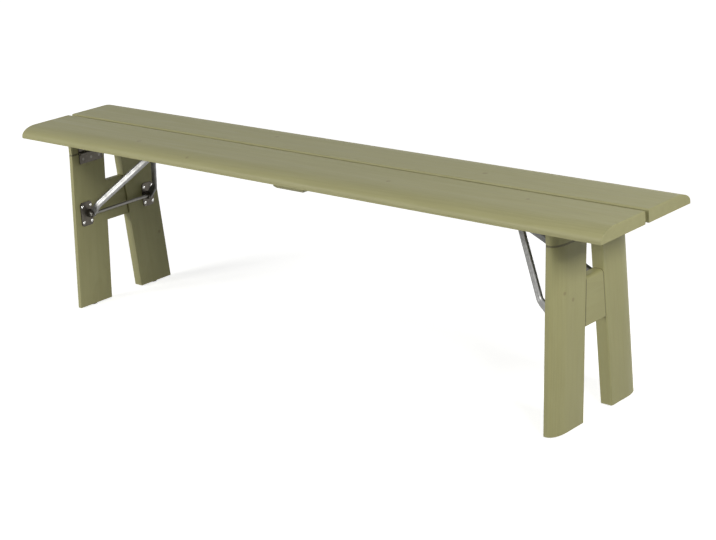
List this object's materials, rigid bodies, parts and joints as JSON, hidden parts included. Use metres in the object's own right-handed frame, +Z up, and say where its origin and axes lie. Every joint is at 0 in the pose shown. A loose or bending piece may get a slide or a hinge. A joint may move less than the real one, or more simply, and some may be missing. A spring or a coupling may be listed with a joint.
{
  "type": "folding_bench",
  "caption": "Folding bench: a two-plank painted wooden seat on hinged pairs of splayed board legs, each pair held open by a Y-shaped brace of bent flat steel.",
  "frame": {"origin": "on the floor under the middle of the seat", "axes": "+X along the seat to its right-hand end, +Y from the front plank to the back plank, +Z up"},
  "size_m": [1.7, 0.31, 0.45],
  "materials": {
    "painted_wood": "semi-opaque olive wood stain",
    "bare_wood": "bare beech",
    "galvanised_steel": "galvanised",
    "spring_steel": "blued spring steel",
    "glide_plastic": "moulded"
  },
  "bodies": {
    "seat": {"front_plank": "painted_wood", "back_plank": "painted_wood", "left_end_cleat": "painted_wood", "right_end_cleat": "painted_wood", "middle_batten": "painted_wood", "cleat_screws": "galvanised_steel", "left_upper_hinge_leaves": "galvanised_steel", "left_hinge_pins": "galvanised_steel", "left_upper_hinge_screws": "galvanised_steel", "left_catch": "galvanised_steel", "left_catch_spring": "spring_steel", "left_catch_screws": "galvanised_steel", "right_upper_hinge_leaves": "galvanised_steel", "right_hinge_pins": "galvanised_steel", "right_upper_hinge_screws": "galvanised_steel", "right_catch": "galvanised_steel", "right_catch_spring": "spring_steel", "right_catch_screws": "galvanised_steel"},
    "left_leg": {"left_front_leg": "painted_wood", "left_back_leg": "painted_wood", "left_cross_board": "painted_wood", "left_dowels": "bare_wood", "left_lower_hinge_leaves": "galvanised_steel", "left_lower_hinge_screws": "galvanised_steel", "left_front_bracket": "galvanised_steel", "left_back_bracket": "galvanised_steel", "left_bracket_screws": "galvanised_steel", "left_glides": "glide_plastic"},
    "right_leg": {"right_front_leg": "painted_wood", "right_back_leg": "painted_wood", "right_cross_board": "painted_wood", "right_dowels": "bare_wood", "right_lower_hinge_leaves": "galvanised_steel", "right_lower_hinge_screws": "galvanised_steel", "right_front_bracket": "galvanised_steel", "right_back_bracket": "galvanised_steel", "right_bracket_screws": "galvanised_steel", "right_glides": "glide_plastic"},
    "left_brace": {"left_brace_rod": "galvanised_steel", "left_front_arm": "galvanised_steel", "left_back_arm": "galvanised_steel", "left_apex_tube": "galvanised_steel", "left_apex_pin": "galvanised_steel"},
    "right_brace": {"right_brace_rod": "galvanised_steel", "right_front_arm": "galvanised_steel", "right_back_arm": "galvanised_steel", "right_apex_tube": "galvanised_steel", "right_apex_pin": "galvanised_steel"}
  },
  "joints": [
    {"name": "left_leg_fold", "type": "hinge", "parent": "seat", "child": "left_leg", "pos_m": [-0.6982, 0, 0.389], "axis": [0, -1, 0], "range_deg": [0, 90], "deforming": ["left_catch_spring"]},
    {"name": "left_brace_swing", "type": "hinge", "parent": "left_leg", "child": "left_brace", "pos_m": [-0.689, 0, 0.237], "axis": [0, 1, 0], "range_deg": [0, 135]},
    {"name": "right_leg_fold", "type": "hinge", "parent": "seat", "child": "right_leg", "pos_m": [0.6982, 0, 0.389], "axis": [0, 1, 0], "range_deg": [0, 90], "deforming": ["right_catch_spring"]},
    {"name": "right_brace_swing", "type": "hinge", "parent": "right_leg", "child": "right_brace", "pos_m": [0.689, 0, 0.237], "axis": [0, -1, 0], "range_deg": [0, 135]}
  ],
  "couplings": [
    {"joint": "left_brace_swing", "follows": "left_leg_fold", "ratio": 1.5},
    {"joint": "right_brace_swing", "follows": "right_leg_fold", "ratio": 1.5}
  ]
}
